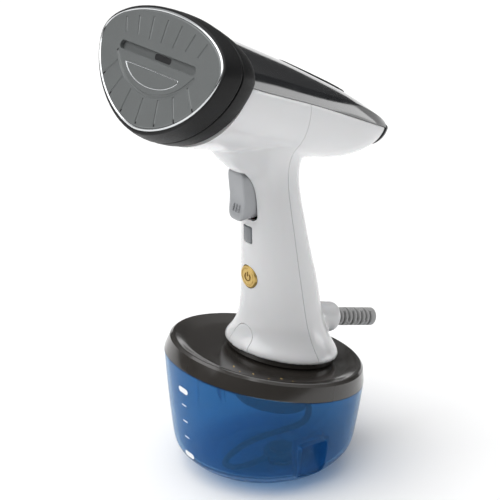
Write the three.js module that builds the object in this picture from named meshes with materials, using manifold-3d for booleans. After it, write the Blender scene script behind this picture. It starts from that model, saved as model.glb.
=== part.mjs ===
// Hand-held garment steamer with a clear water tank that is also its foot.
// Millimetres, +Z up. The origin is the centre of the tank's flat base; the steam plate faces -Y.

import * as THREE from 'three';
import { mergeVertices } from 'three/addons/utils/BufferGeometryUtils.js';
import Module from 'manifold-3d';

const wasm = await Module();
wasm.setup();

// ---------------------------------------------------------------- driving dimensions

const GAP = 0.3;                       // air left between two pieces that touch
const WALL = 2.2;                      // moulded shell thickness
const degrees = Math.PI / 180;

const HEAD_SLOPE = 23.8 * degrees;     // the head runs down to the rear at this angle
const PLATE_CENTRE = [0, -69.5, 242.4];
const PLATE = { halfWidth: 53.2, top: 30, bottom: -30.2, widest: 9, thickness: 3.2 };
const SLOT = { halfLength: 33.5, height: 4.6, at: 6.7, depth: 2.4, outlet: 9 };
const COLLAR_SPLIT = 12;               // depth of the joint between the two collars
const COLLAR_BACK = 22;                // depth where the moulded body starts
const BELLY_FULLNESS = 2;              // 2 is an ellipse, more is squarer
const HEAD_END = 147;                  // depth of the white body's tail
const TAIL_CAP = 3;                    // how far the top cover wraps over the tail

const LID_TILT = 12.7 * degrees;       // lid plane, higher at the front
const SEAM_CENTRE = [0, 0, 59.4];      // centre of the lid's lower edge
const SEAM_RADIUS = 57.4;
const NECK_OFFSET = 10.4;              // neck axis, rearwards of the lid's centre
const NECK_HEIGHT = 10.4;              // underside of the handle's flare above the seam
const TANK_WALL = 2;
const TANK_WELD = 20;                  // height of the weld between the tank's floor and its side wall
const TANK_BASE_RADIUS = 28;
const GRIP_RECESS = { floor: 47.5, centre: -1.8, halfWidth: 10, top: 38 };

const TRIGGER = { halfWidth: 7.2, top: 179.5, bottom: 151.5, pinY: -4.6, pinZ: 175.6, pinRadius: 1.2 };
const BUTTON = { z: 116, radius: 6.6, face: -12.2, flange: -6.4, back: -5.4 };
const WINDOW = { z: 141.4, halfWidth: 3.6, halfHeight: 4.8, front: -12.1, depth: 2.8 };
const RELEASE = { halfWidth: 11.5, bottom: 54, shoulder: 77.5, thickness: 3 };
const CORD_SLOPE = 16.2 * degrees;     // the cord leaves the handle downwards at this angle
const BOSS = { y: 50, z: 74.2, radius: 8.9, length: 24 };
const RELIEF = { radius: 5.3, length: 32, ribs: 7 };
const PUMP = { radius: 9, y: 13.8, low: 91, high: 130 };
const BOARD = { y: 0.2, low: 103, high: 150.5, halfWidth: 9 };
const BASE_PLATE = { radius: 30.8, low: 7.2, collar: 15.4, reach: -1 };
const SOCKET = { outer: 21, inner: 16.4, top: 4.5, floor: -8.6, bottom: -11 };
const LID_DISH = 6.8;                  // lid's top surface round the neck, above the seam
const PLUG = { z: 37, radius: 5.5 };

// Handle sections from the flare up into the head:
// centre y, centre z, half-width, half-depth, tilt in degrees.
const HANDLE_SECTIONS = [
  [12.3, 67.3, 33.2, 33.2, 12.7],
  [12.4, 70.4, 32.4, 32.4, 12.7],
  [12.3, 75.5, 28.9, 28.9, 11],
  [12.0, 81.5, 26.0, 26.0, 8.5],
  [11.7, 88, 24.1, 24.1, 6],
  [11.2, 96, 22.7, 22.7, 3],
  [10.1, 110, 21.2, 21.2, 0],
  [7.7, 127, 19.3, 19.3, -3],
  [5.6, 145, 17.6, 17.6, -4],
  [4.4, 158, 16.1, 16.1, -4],
  [4.0, 169, 15.3, 15.3, -4],
  [3.4, 178, 15.9, 16.6, -4],
  [1.4, 186, 18.5, 21.5, -2],
  [-2.0, 193, 23, 28, 4],
  [-4.5, 199, 27, 34, 12],
];

// Head sections by depth behind the plate:
// depth, half-width, height of the side seam, height of the crease, crown, underside.
const HEAD_SECTIONS = [
  [COLLAR_BACK + GAP, 50.4, 8.1, 15.6, 27.2, -33.0],
  [34, 47.9, 8.1, 15.9, 26.8, -31.6],
  [50, 44.3, 8.5, 16.1, 26.0, -29.2],
  [70, 39.9, 9.0, 16.2, 24.9, -25.6],
  [92, 35.0, 9.1, 16.4, 23.0, -21.0],
  [112, 30.2, 8.8, 16.4, 20.8, -16.6],
  [127, 26.4, 8.7, 15.0, 18.2, -12.9],
  [138, 23.2, 8.6, 13.4, 15.6, -9.4],
  [HEAD_END, 19.4, 8.5, 11.4, 12.8, -5.6],
];

// ---------------------------------------------------------------- materials

function finish(color, roughness, metalness = 0) {
  return new THREE.MeshStandardMaterial({ color, roughness, metalness });
}

const WHITE_ABS = finish(0xf1f1f1, 0.25);
const BLACK_NYLON = finish(0x2b2b2b, 0.5);
const DARK_GLOSS = finish(0x3c3c3e, 0.2);
const COATED_PLATE = finish(0x6f7373, 0.45, 0.4);
const CAST_ALUMINIUM = finish(0xa9abad, 0.5, 0.9);
const STEEL = finish(0xb9bbbe, 0.3, 1);
const SILVER_PAINT = finish(0xa2a4a6, 0.35, 0.6);
const GOLD_PAINT = finish(0xc9a95a, 0.35, 0.6);
const CLEAR_LENS = finish(0x9aa0a6, 0.15);
const CIRCUIT_GREEN = finish(0x2c5a3a, 0.5);
const DARK_LID = finish(0x3b3836, 0.35);
const BLUE_CLEAR = finish(0x2f6096, 0.1);
BLUE_CLEAR.transparent = true;
BLUE_CLEAR.opacity = 0.55;
const SOFT_RUBBER = finish(0x2a2a2c, 0.8);
const GREY_RUBBER = finish(0x6b6b6b, 0.6);
const CLEAR_HOSE = finish(0xd8d4c8, 0.4);
const DARK_HOSE = finish(0x303338, 0.4);
const FILTER_PLASTIC = finish(0x24262a, 0.5);
const SWITCH_BLACK = finish(0x1e1e20, 0.5);

// ---------------------------------------------------------------- solids

function toSolid(geometry) {
  let bare = geometry.clone();
  bare.deleteAttribute('normal');
  bare.deleteAttribute('uv');
  bare = mergeVertices(bare, 1e-4);
  const mesh = new wasm.Mesh({
    numProp: 3,
    vertProperties: new Float32Array(bare.attributes.position.array),
    triVerts: new Uint32Array(bare.index.array),
  });
  return new wasm.Manifold(mesh);
}

function toGeometry(solid) {
  const mesh = solid.getMesh();
  const geometry = new THREE.BufferGeometry();
  geometry.setAttribute('position', new THREE.BufferAttribute(new Float32Array(mesh.vertProperties), 3));
  geometry.setIndex(new THREE.BufferAttribute(new Uint32Array(mesh.triVerts), 1));
  geometry.computeVertexNormals();
  return geometry;
}

function join(first, ...others) {
  return toGeometry(others.reduce((solid, other) => solid.add(toSolid(other)), toSolid(first)));
}

function cut(first, ...tools) {
  return toGeometry(tools.reduce((solid, tool) => solid.subtract(toSolid(tool)), toSolid(first)));
}

function common(first, second) {
  return toGeometry(toSolid(first).intersect(toSolid(second)));
}

// A closed tube of rings. Every ring is a list of the same number of Vector3 points.
// It is a cylinder whose vertices are moved onto the rings, with fans over both ends.
function loft(rings) {
  const sides = rings[0].length;
  const steps = rings.length - 1;
  const geometry = new THREE.CylinderGeometry(1, 1, 1, sides, steps);
  const centres = rings.map((ring) => {
    const sum = ring.reduce((total, point) => total.add(point), new THREE.Vector3());
    return sum.divideScalar(sides);
  });
  const position = geometry.attributes.position;
  for (let i = 0; i < position.count; i += 1) {
    const x = position.getX(i);
    const z = position.getZ(i);
    const k = Math.round((0.5 - position.getY(i)) * steps);
    const turn = Math.round((Math.atan2(x, z) / (2 * Math.PI)) * sides + sides) % sides;
    const point = Math.hypot(x, z) < 0.5 ? centres[k] : rings[k][turn];
    position.setXYZ(i, point.x, point.y, point.z);
  }
  if (signedVolume(geometry) < 0) {
    const index = geometry.index;
    for (let i = 0; i < index.count; i += 3) {
      const first = index.getX(i);
      index.setX(i, index.getX(i + 1));
      index.setX(i + 1, first);
    }
  }
  geometry.computeVertexNormals();
  return geometry;
}

function signedVolume(geometry) {
  const [a, b, c] = [new THREE.Vector3(), new THREE.Vector3(), new THREE.Vector3()];
  const { index, attributes } = geometry;
  let volume = 0;
  for (let i = 0; i < index.count; i += 3) {
    a.fromBufferAttribute(attributes.position, index.getX(i));
    b.fromBufferAttribute(attributes.position, index.getX(i + 1));
    c.fromBufferAttribute(attributes.position, index.getX(i + 2));
    volume += a.dot(b.cross(c)) / 6;
  }
  return volume;
}

// A solid of revolution about Z from [radius, z] pairs that close on themselves or on the axis.
function lathe(profile, sides = 32) {
  const points = profile.map(([radius, z]) => new THREE.Vector2(radius, z));
  const onAxis = profile[0][0] === 0 && profile[profile.length - 1][0] === 0;
  if (!onAxis) points.push(points[0].clone());
  const geometry = new THREE.LatheGeometry(points, sides);
  geometry.rotateX(Math.PI / 2);
  let turned = geometry.clone();
  turned.deleteAttribute('normal');
  turned.deleteAttribute('uv');
  turned = mergeVertices(turned, 1e-4);
  if (signedVolume(turned) < 0) turned.index.array.reverse();
  turned.computeVertexNormals();
  return turned;
}

function ring(outer, inner, low, high, sides = 32) {
  return lathe([[inner, low], [outer, low], [outer, high], [inner, high]], sides);
}

function rod(radius, low, high, sides = 20) {
  return lathe([[0, low], [radius, low], [radius, high], [0, high]], sides);
}

function box(width, depth, height, x = 0, y = 0, z = 0) {
  return new THREE.BoxGeometry(width, depth, height).translate(x, y, z);
}

// A closed round bar along a curve through the given points.
function bar(points, radius, steps = 16, sides = 8) {
  const curve = new THREE.CatmullRomCurve3(points.map((point) => new THREE.Vector3(...point)));
  return sweep(curve, radius, steps, sides);
}

function sweep(curve, radius, steps, sides) {
  const outline = new THREE.Shape();
  for (let i = 0; i < sides; i += 1) {
    const angle = (i / sides) * 2 * Math.PI;
    const [x, y] = [radius * Math.cos(angle), radius * Math.sin(angle)];
    if (i === 0) outline.moveTo(x, y);
    else outline.lineTo(x, y);
  }
  return new THREE.ExtrudeGeometry(outline, { steps, extrudePath: curve });
}

class Helix extends THREE.Curve {
  constructor(radius, length, turns) {
    super();
    Object.assign(this, { radius, length, turns });
  }

  getPoint(t, target = new THREE.Vector3()) {
    const angle = t * this.turns * 2 * Math.PI;
    return target.set(this.radius * Math.cos(angle), this.radius * Math.sin(angle), t * this.length);
  }
}

// A compression spring standing on Z.
function spring(radius, wire, length, turns) {
  return sweep(new Helix(radius, length, turns), wire, turns * 8, 5);
}

// ---------------------------------------------------------------- outlines

// The plate's outline: half an ellipse above its widest line and a fuller, tapering curve below.
function plateOutline(inset = 0, sides = 36) {
  const halfWidth = PLATE.halfWidth - inset;
  const points = [];
  for (let i = 0; i < sides; i += 1) {
    const angle = (i / sides) * 2 * Math.PI;
    const across = Math.cos(angle);
    const up = Math.sin(angle);
    if (up >= 0) {
      points.push(new THREE.Vector2(halfWidth * across, PLATE.widest + (PLATE.top - inset - PLATE.widest) * up));
    } else {
      const power = 2 / 1.75;
      const x = halfWidth * Math.sign(across) * Math.abs(across) ** power;
      const drop = (PLATE.widest - PLATE.bottom - inset) * Math.abs(up) ** power;
      points.push(new THREE.Vector2(x, PLATE.widest - drop));
    }
  }
  return points;
}

// The same outline widened downwards, for the collars.
function collarOutline(inset, deeper) {
  return plateOutline(inset).map(({ x, y }) => {
    const below = Math.max(0, (PLATE.widest - y) / (PLATE.widest - PLATE.bottom));
    return new THREE.Vector2(x, y - deeper * below);
  });
}

// Head space: x across, y is depth behind the plate, z up the plate.
function atDepth(outline, depth) {
  return outline.map(({ x, y }) => new THREE.Vector3(x, depth, y));
}

// The white body below the side seam: flat on top, rounded underneath.
function bodyOutline([, halfWidth, seam, , , bottom], inset) {
  const count = 14;
  const points = [];
  for (let i = 0; i <= count; i += 1) {
    const angle = Math.PI * (i / count);
    const power = 2 / BELLY_FULLNESS;
    const across = Math.cos(angle);
    const x = -(halfWidth - inset) * Math.sign(across) * Math.abs(across) ** power;
    points.push(new THREE.Vector2(x, seam - (seam - bottom - inset) * Math.sin(angle) ** power));
  }
  return points;
}

// The top cover above the side seam: a leaning side facet, a crease and a crowned top.
function coverOutline([, halfWidth, seam, crease, crown], inset, bottomInset = 0) {
  const creaseWidth = halfWidth - 2.4 - inset;
  const rise = crown - inset - (crease - inset * 0.5);
  const points = [new THREE.Vector2(halfWidth - inset, seam + GAP - bottomInset)];
  const count = 10;
  for (let i = 0; i <= count; i += 1) {
    const x = creaseWidth * (1 - (2 * i) / count);
    const share = x / creaseWidth;
    points.push(new THREE.Vector2(x, crease - inset * 0.5 + rise * (1 - share * share)));
  }
  points.push(new THREE.Vector2(-(halfWidth - inset), seam + GAP - bottomInset));
  return points;
}

function handleRing([y, z, halfWidth, halfDepth, tilt], inset, sides = 24) {
  const lean = tilt * degrees;
  const points = [];
  for (let i = 0; i < sides; i += 1) {
    const angle = (i / sides) * 2 * Math.PI;
    const across = (halfWidth - inset) * Math.cos(angle);
    const along = (halfDepth - inset) * Math.sin(angle);
    points.push(new THREE.Vector3(across, y + along * Math.cos(lean), z - along * Math.sin(lean)));
  }
  return points;
}

// ---------------------------------------------------------------- scene graph

const steamer = new THREE.Group();
const head = new THREE.Group();
head.position.set(...PLATE_CENTRE);
head.rotation.x = -HEAD_SLOPE;
head.updateMatrix();
const lidFrame = new THREE.Group();
lidFrame.position.set(...SEAM_CENTRE);
lidFrame.rotation.x = -LID_TILT;
lidFrame.updateMatrix();
const neckFrame = new THREE.Group();
neckFrame.position.set(0, NECK_OFFSET, 0);
lidFrame.add(neckFrame);
const cordFrame = new THREE.Group();
cordFrame.position.set(0, BOSS.y, BOSS.z);
cordFrame.rotation.x = -Math.PI / 2 - CORD_SLOPE;
cordFrame.updateMatrix();
steamer.add(head, lidFrame, cordFrame);

function piece(parent, name, geometry, material, place) {
  const mesh = new THREE.Mesh(geometry, material);
  mesh.name = name;
  if (place) mesh.position.set(...place);
  parent.add(mesh);
  return mesh;
}

// ---------------------------------------------------------------- steam head

function steamPlate() {
  const front = plateOutline(1.2);
  const full = plateOutline(0);
  const plate = loft([atDepth(front, 0), atDepth(full, 1.2), atDepth(full, PLATE.thickness)]);
  const slot = box(SLOT.halfLength * 2, SLOT.depth * 2, SLOT.height, 0, 0, SLOT.at);
  const outlet = box(SLOT.outlet, 20, SLOT.height - 1, 0, 0, SLOT.at);
  return cut(plate, slot, outlet);
}

function collar(front, back, frontSize, backSize) {
  const outer = loft([
    atDepth(collarOutline(...frontSize), front),
    atDepth(collarOutline(...backSize), back),
  ]);
  const inner = loft([
    atDepth(collarOutline(frontSize[0] + 4.5, frontSize[1]), front - 5),
    atDepth(collarOutline(backSize[0] + 4.5, backSize[1]), back + 5),
  ]);
  return cut(outer, inner);
}

// The front collar carries the plate in a rebate, so only the plate's edge shows.
function frontCollar() {
  const rebate = loft([atDepth(plateOutline(-GAP), -5), atDepth(plateOutline(-GAP), PLATE.thickness + GAP)]);
  return cut(collar(0.9, COLLAR_SPLIT - GAP / 2, [-1.1, 0.6], [-1.3, 2.6]), rebate);
}

function rearCollar() {
  return collar(COLLAR_SPLIT + GAP / 2, COLLAR_BACK, [-0.6, 3.0], [1.8, 5.1]);
}

const BOILER = { front: PLATE.thickness + GAP, back: 24, inset: 8 };

function boiler() {
  const block = loft([
    atDepth(plateOutline(BOILER.inset), BOILER.front),
    atDepth(plateOutline(BOILER.inset), 10),
    atDepth(plateOutline(BOILER.inset + 5), BOILER.back),
  ]);
  const chamber = box(58, 14, 20, 0, BOILER.back - 4, 4);
  const steamWay = box(SLOT.outlet - 2, 30, SLOT.height - 2, 0, 8, SLOT.at);
  return cut(block, chamber, steamWay, ...screwHoles());
}

function boilerCover() {
  const outline = plateOutline(BOILER.inset + 5);
  const plate = loft([atDepth(outline, BOILER.back + GAP), atDepth(outline, BOILER.back + 2.6)]);
  return cut(plate, ...screwHoles());
}

// The tubular heater bends round the back of the boiler, with both ends pointing to the rear.
function heatingElement() {
  const depth = BOILER.back + 7.4;
  return bar([
    [-20, depth + 16, 7], [-22, depth + 7, 7], [-24, depth, 3], [-15, depth, -6], [0, depth, -10],
    [15, depth, -6], [24, depth, 3], [22, depth + 7, 7], [20, depth + 16, 7],
  ], 2.4, 28, 8);
}

function topCover() {
  const end = [HEAD_END + TAIL_CAP, 17.2, 8.3, 10.4, 11.4, -4.4];
  const outer = loft(HEAD_SECTIONS.map((section) => atDepth(coverOutline(section, 0), section[0])));
  const inner = loft(HEAD_SECTIONS.map((section, i) => {
    const last = i === HEAD_SECTIONS.length - 1;
    return atDepth(coverOutline(section, WALL, 4), section[0] + (last ? 0.5 : 0) - (i === 0 ? 5 : 0));
  }));
  const tail = HEAD_SECTIONS[HEAD_SECTIONS.length - 1];
  const shell = cut(outer, inner);
  const capFront = HEAD_END + GAP;
  const cap = loft([
    atDepth(wholeOutline(tail), capFront),
    atDepth(wholeOutline(end), HEAD_END + TAIL_CAP),
  ]);
  const bridge = loft([
    atDepth(coverOutline(tail, 1), HEAD_END - 1),
    atDepth(coverOutline(tail, 1), capFront + 1),
  ]);
  return join(shell, bridge, cap);
}

// Cover and body outlines joined, for the end cap.
function wholeOutline(section) {
  return [...coverOutline(section, 0), ...bodyOutline(section, 0)];
}

// A raised strip along the rear of the top cover.
function coverInlay() {
  const sections = [78, 84, 96, 108, 118, 126].map((depth, i, all) => {
    const k = HEAD_SECTIONS.findIndex((section) => section[0] > depth);
    const [low, high] = [HEAD_SECTIONS[k - 1], HEAD_SECTIONS[k]];
    const share = (depth - low[0]) / (high[0] - low[0]);
    const crown = low[4] + (high[4] - low[4]) * share;
    const halfWidth = i === 0 || i === all.length - 1 ? 3.5 : 7.5;
    const base = crown + GAP;
    return [[-halfWidth, base], [halfWidth, base], [halfWidth * 0.7, base + 1.5], [-halfWidth * 0.7, base + 1.5]]
      .map(([x, z]) => new THREE.Vector3(x, depth, z));
  });
  return loft(sections);
}

// Four screws hold the cover on the boiler.
const SCREW_PLACES = [[-30, 12], [30, 12], [-22, -8], [22, -8]];
const SCREW = { radius: 1.4, length: 9, headRadius: 2.7, headHeight: 1.8 };

function screwHoles() {
  return SCREW_PLACES.map(([x, z]) => rod(SCREW.radius + GAP, -14, 6, 12)
    .rotateX(-Math.PI / 2).translate(x, BOILER.back, z));
}

function coverScrew() {
  const seat = 2.6 + GAP;
  const { radius, length, headRadius, headHeight } = SCREW;
  return lathe([[0, seat - length], [radius, seat - length], [radius, seat], [headRadius, seat],
    [headRadius, seat + headHeight], [0, seat + headHeight]], 12).rotateX(-Math.PI / 2);
}

piece(head, 'steam_plate', steamPlate(), COATED_PLATE);
piece(head, 'front_collar', frontCollar(), BLACK_NYLON);
piece(head, 'rear_collar', rearCollar(), BLACK_NYLON);
piece(head, 'boiler', boiler(), CAST_ALUMINIUM);
piece(head, 'boiler_cover', boilerCover(), CAST_ALUMINIUM);
piece(head, 'heating_element', heatingElement(), STEEL);
piece(head, 'top_cover', topCover(), DARK_GLOSS);
piece(head, 'cover_inlay', coverInlay(), DARK_GLOSS);
piece(head, 'thermostat', lathe([[0, 0], [8, 0], [8, 5], [5, 5], [5, 9], [0, 9]], 20).rotateX(-Math.PI / 2),
  SWITCH_BLACK, [0, BOILER.back + 3, 9]);
piece(head, 'thermal_fuse', rod(2.2, -9, 9, 12).rotateY(Math.PI / 2), SWITCH_BLACK, [0, BOILER.back + 5.5, -2.6]);
SCREW_PLACES.forEach(([x, z], i) => piece(head, `cover_screw_${i + 1}`, coverScrew(), STEEL, [x, BOILER.back, z]));

// ---------------------------------------------------------------- handle shells

const headMatrix = head.matrix;

function headLoft(inset, extra) {
  const last = HEAD_SECTIONS.length - 1;
  const rings = HEAD_SECTIONS.map((section, i) => {
    const depth = section[0] - (i === 0 ? extra : 0) - (i === last ? inset : 0);
    const outline = bodyOutline(section, inset);
    if (inset > 0) {
      outline[0].y += 4;
      outline[outline.length - 1].y += 4;
    }
    return atDepth(outline, depth);
  });
  return loft(rings).applyMatrix4(headMatrix);
}

function handleLoft(inset) {
  const rings = HANDLE_SECTIONS.map((section) => handleRing(section, inset));
  if (inset > 0) {
    const [y, z, ...rest] = HANDLE_SECTIONS[0];
    rings.unshift(handleRing([y - 2, z - 8, ...rest], inset));
  }
  return loft(rings);
}

// The round boss that the cord leaves through, and the hole along it.
function boss() {
  const edge = 2.4;
  const { radius, length } = BOSS;
  const profile = [[0, -length], [radius, -length], [radius, -edge], [radius - edge, 0], [0, 0]];
  return lathe(profile, 20).applyMatrix4(cordFrame.matrix);
}

function bossHole() {
  const collarRoom = RELIEF.radius + 1.8;
  const mouth = RELIEF.radius + GAP;
  const deep = -BOSS.length - 12;
  return lathe([[0, deep], [collarRoom, deep], [collarRoom, -4], [mouth, -4], [mouth, 4], [0, 4]], 20)
    .applyMatrix4(cordFrame.matrix);
}

function handleShell() {
  const outer = join(handleLoft(0), headLoft(0, 0), boss());
  const trimmed = cut(outer, headTop());
  const inner = join(handleLoft(WALL), headLoft(WALL, 6));
  const windowHole = box(2 * WINDOW.halfWidth + 2 * GAP, 40, 2 * WINDOW.halfHeight + 2 * GAP, 0, -20, WINDOW.z);
  const buttonHole = rod(BUTTON.radius + GAP, 0, 40, 24).rotateX(Math.PI / 2).translate(0, 0, BUTTON.z);
  const [triggerLow, triggerHigh] = [TRIGGER.bottom - 1.8, TRIGGER.top + 1];
  const triggerHole = box(2 * TRIGGER.halfWidth + 2 * GAP, 40, triggerHigh - triggerLow, 0, -22,
    (triggerHigh + triggerLow) / 2);
  return cut(trimmed, inner, windowHole, buttonHole, triggerHole, bossHole(), releaseCutter(GAP));
}

// Everything above the side seam, and everything ahead of the moulded body.
function headTop() {
  const above = loft(HEAD_SECTIONS.map((section, i) => {
    const depth = section[0] + (i === 0 ? -30 : 0) + (i === HEAD_SECTIONS.length - 1 ? 20 : 0);
    const outline = [[80, section[2]], [80, 90], [-80, 90], [-80, section[2]]];
    return outline.map(([x, z]) => new THREE.Vector3(x, depth, z));
  })).applyMatrix4(headMatrix);
  const ahead = box(160, 60, 160, 0, COLLAR_BACK + GAP - 30, 0).applyMatrix4(headMatrix);
  return join(above, ahead);
}

// The arch in the front of the flare, pushed through along Y.
function releaseCutter(clearance) {
  const outline = new THREE.Shape();
  const width = RELEASE.halfWidth + clearance;
  const low = RELEASE.bottom;
  outline.moveTo(-width, low);
  outline.lineTo(width, low);
  outline.lineTo(width, RELEASE.shoulder);
  outline.absarc(0, RELEASE.shoulder, width, 0, Math.PI, false);
  outline.lineTo(-width, low);
  const prism = new THREE.ExtrudeGeometry(outline, { depth: 40, bevelEnabled: false, curveSegments: 8 });
  return prism.rotateX(Math.PI / 2).translate(0, -2, 0);
}

// The two shells meet on a plane that follows the leaning handle.
function halfSpace(side) {
  const lean = 5.4 * degrees;
  return box(300, 200, 500, 0, side * (100 + GAP / 2), 0).rotateX(lean).translate(0, 4.2, 168);
}

// Lugs inside the front shell carry both ends of the trigger's pin.
function pinLugs() {
  const pinHole = rod(TRIGGER.pinRadius + 0.1, -14, 14, 12).rotateY(Math.PI / 2)
    .translate(0, TRIGGER.pinY, TRIGGER.pinZ);
  return [-1, 1].map((side) => {
    const lug = box(1.9, 9, 6, side * 8.65, TRIGGER.pinY - 1.5, TRIGGER.pinZ);
    return cut(common(lug, handleLoft(0.6)), pinHole);
  });
}

const shell = handleShell();
piece(steamer, 'front_shell', join(common(shell, halfSpace(-1)), ...pinLugs()), WHITE_ABS);
piece(steamer, 'rear_shell', common(shell, halfSpace(1)), WHITE_ABS);

// ---------------------------------------------------------------- controls

// The trigger's side view, from the top round its hollowed front to the switch arm behind.
function triggerBody() {
  const { top, bottom } = TRIGGER;
  const side = new THREE.Shape();
  side.moveTo(-9.5, top);
  side.lineTo(-18.4, top);
  side.quadraticCurveTo(-20.2, top - 0.5, -19.8, top - 3);
  side.quadraticCurveTo(-17.6, (top + bottom) / 2, -20.4, bottom + 3);
  side.quadraticCurveTo(-20.9, bottom, -18.2, bottom);
  side.lineTo(-9.6, bottom + 1.2);
  side.lineTo(-6.4, bottom + 2.6);
  side.lineTo(-6.4, bottom + 9);
  side.lineTo(-1.8, TRIGGER.pinZ - 3);
  side.lineTo(-1.8, top - 1.2);
  const width = 2 * TRIGGER.halfWidth;
  const solid = new THREE.ExtrudeGeometry(side, { depth: width, bevelEnabled: false, curveSegments: 5 });
  solid.applyMatrix4(sideView).translate(-TRIGGER.halfWidth, 0, 0);
  const pinHole = rod(TRIGGER.pinRadius + GAP, -10, 10, 12).rotateY(Math.PI / 2)
    .translate(0, TRIGGER.pinY, TRIGGER.pinZ);
  const springPocket = rod(3.4, -3.6, 3.6, 12).rotateY(Math.PI / 2).translate(0, TRIGGER.pinY, TRIGGER.pinZ);
  return cut(solid, pinHole, springPocket, box(7.2, 12, 6.8, 0, TRIGGER.pinY + 6, TRIGGER.pinZ));
}

// Turns a shape drawn as (y, z) and extruded towards the viewer into one extruded along X.
const sideView = new THREE.Matrix4().makeBasis(
  new THREE.Vector3(0, 1, 0), new THREE.Vector3(0, 0, 1), new THREE.Vector3(1, 0, 0),
);

// Faces forward: a solid turned about Z whose top ends up towards -Y.
function forward(geometry) {
  return geometry.rotateX(Math.PI / 2);
}

function powerButton() {
  const { radius, face, flange, back } = BUTTON;
  return forward(lathe([[0, -back], [radius + 0.9, -back], [radius + 0.9, -flange], [radius, -flange],
    [radius, -face - 0.8], [radius - 0.8, -face], [0, -face - 0.3]], 24));
}

function releaseButton() {
  const arch = common(handleLoft(0), releaseCutter(0));
  return cut(arch, handleLoft(RELEASE.thickness));
}

piece(steamer, 'trigger', triggerBody(), SILVER_PAINT);
piece(steamer, 'trigger_pin', rod(TRIGGER.pinRadius, -9.2, 9.2, 12).rotateY(Math.PI / 2), STEEL,
  [0, TRIGGER.pinY, TRIGGER.pinZ]);
piece(steamer, 'trigger_spring', spring(2.2, 0.45, 5.6, 4).rotateY(Math.PI / 2), STEEL,
  [-2.8, TRIGGER.pinY, TRIGGER.pinZ]);
piece(steamer, 'trigger_switch', box(6, 5.6, 11), SWITCH_BLACK, [0, -0.2, 158.5]);
piece(steamer, 'power_button', powerButton(), GOLD_PAINT, [0, 0, BUTTON.z]);
piece(steamer, 'power_switch', box(6, 3.4, 6), SWITCH_BLACK, [0, BOARD.y - GAP - 1.9, BUTTON.z]);
piece(steamer, 'control_board',
  box(2 * BOARD.halfWidth, 1.6, BOARD.high - BOARD.low), CIRCUIT_GREEN,
  [0, BOARD.y + 0.8, (BOARD.low + BOARD.high) / 2]);
piece(steamer, 'indicator_lens', box(2 * WINDOW.halfWidth, WINDOW.depth, 2 * WINDOW.halfHeight), CLEAR_LENS,
  [0, WINDOW.front + WINDOW.depth / 2, WINDOW.z]);
piece(steamer, 'indicator_lamp', forward(rod(2.4, 0, 8, 12)), CLEAR_LENS, [0, BOARD.y - GAP, WINDOW.z]);
piece(steamer, 'release_button', releaseButton(), WHITE_ABS);
piece(steamer, 'release_spring', forward(spring(2.4, 0.45, 5, 4)), STEEL, [0, -6.5, 82]);

// ---------------------------------------------------------------- pump and water line

const [PUMP_HEAD, NOZZLE] = [6.4, 2];

function pump() {
  const { radius, low, high } = PUMP;
  return lathe([[0, low - 5], [NOZZLE, low - 5], [NOZZLE, low], [radius, low], [radius, high - 9],
    [PUMP_HEAD, high - 7], [PUMP_HEAD, high], [NOZZLE, high], [NOZZLE, high + 4], [0, high + 4]], 20);
}

function inHead(x, depth, up) {
  return new THREE.Vector3(x, depth, up).applyMatrix4(headMatrix).toArray();
}

piece(steamer, 'pump', pump(), SWITCH_BLACK, [0, PUMP.y, 0]);
piece(steamer, 'pump_mount', ring(PUMP.radius + 1.9, PUMP.radius + GAP, 104, 111, 20), SOFT_RUBBER, [0, PUMP.y, 0]);
piece(steamer, 'pump_outlet_hose', bar([
  [0, PUMP.y, PUMP.high + 4.4], [0, PUMP.y - 2, 146], [0, 7, 166], [0, 5, 184], [4, -8, 200],
  inHead(11, 48, -3), inHead(13, 36, 1), inHead(13, BOILER.back + 3, 1),
], 2, 22, 8), CLEAR_HOSE);
piece(steamer, 'pump_inlet_hose', bar([
  [0, 14.6, 78.6], [0, 14.4, 81], [0, PUMP.y, 85.6],
], 2.2, 4, 8), CLEAR_HOSE);

// ---------------------------------------------------------------- base of the handle

// The dark plate closes the flare; its round collar plugs into the tank's socket.
function basePlate() {
  const { radius, low, collar: collarRadius, reach } = BASE_PLATE;
  const high = NECK_HEIGHT - GAP;
  return lathe([[5.4, reach + 3], [collarRadius - 2.4, reach + 3], [collarRadius - 2.4, reach],
    [collarRadius, reach], [collarRadius, low], [radius, low], [radius, high], [26, high], [26, high + 2.4],
    [5.4, high + 2.4]], 28);
}

function waterSpigot() {
  return lathe([[1.6, -5], [3.4, -5], [3.4, 1.6], [5.1, 1.6], [5.1, 14], [2.4, 14], [2.4, 19.6], [1.6, 19.6]], 20);
}

piece(neckFrame, 'base_plate', basePlate(), BLACK_NYLON);
piece(neckFrame, 'water_spigot', waterSpigot(), BLACK_NYLON);
piece(neckFrame, 'spigot_seal', ring(4.9, 3.7, -3.4, -2, 14), SOFT_RUBBER);

// The strain relief: a stepped root held in the boss and a ribbed sleeve outside it.
function strainRelief() {
  const { radius, length, ribs } = RELIEF;
  const core = radius - 1;
  const pitch = (length - 3) / ribs;
  const profile = [[0, -10], [radius + 1.4, -10], [radius + 1.4, -4.4], [core, -4.4], [core, 0.6]];
  for (let i = 0; i < ribs; i += 1) {
    const start = 0.6 + i * pitch;
    profile.push([radius, start + 0.2], [radius, start + pitch * 0.6], [core, start + pitch * 0.8]);
  }
  profile.push([radius, length - 2], [radius, length - 0.6], [radius - 1, length], [0, length]);
  return lathe(profile, 12);
}

piece(cordFrame, 'strain_relief', strainRelief(), GREY_RUBBER);

// ---------------------------------------------------------------- tank and lid

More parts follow.
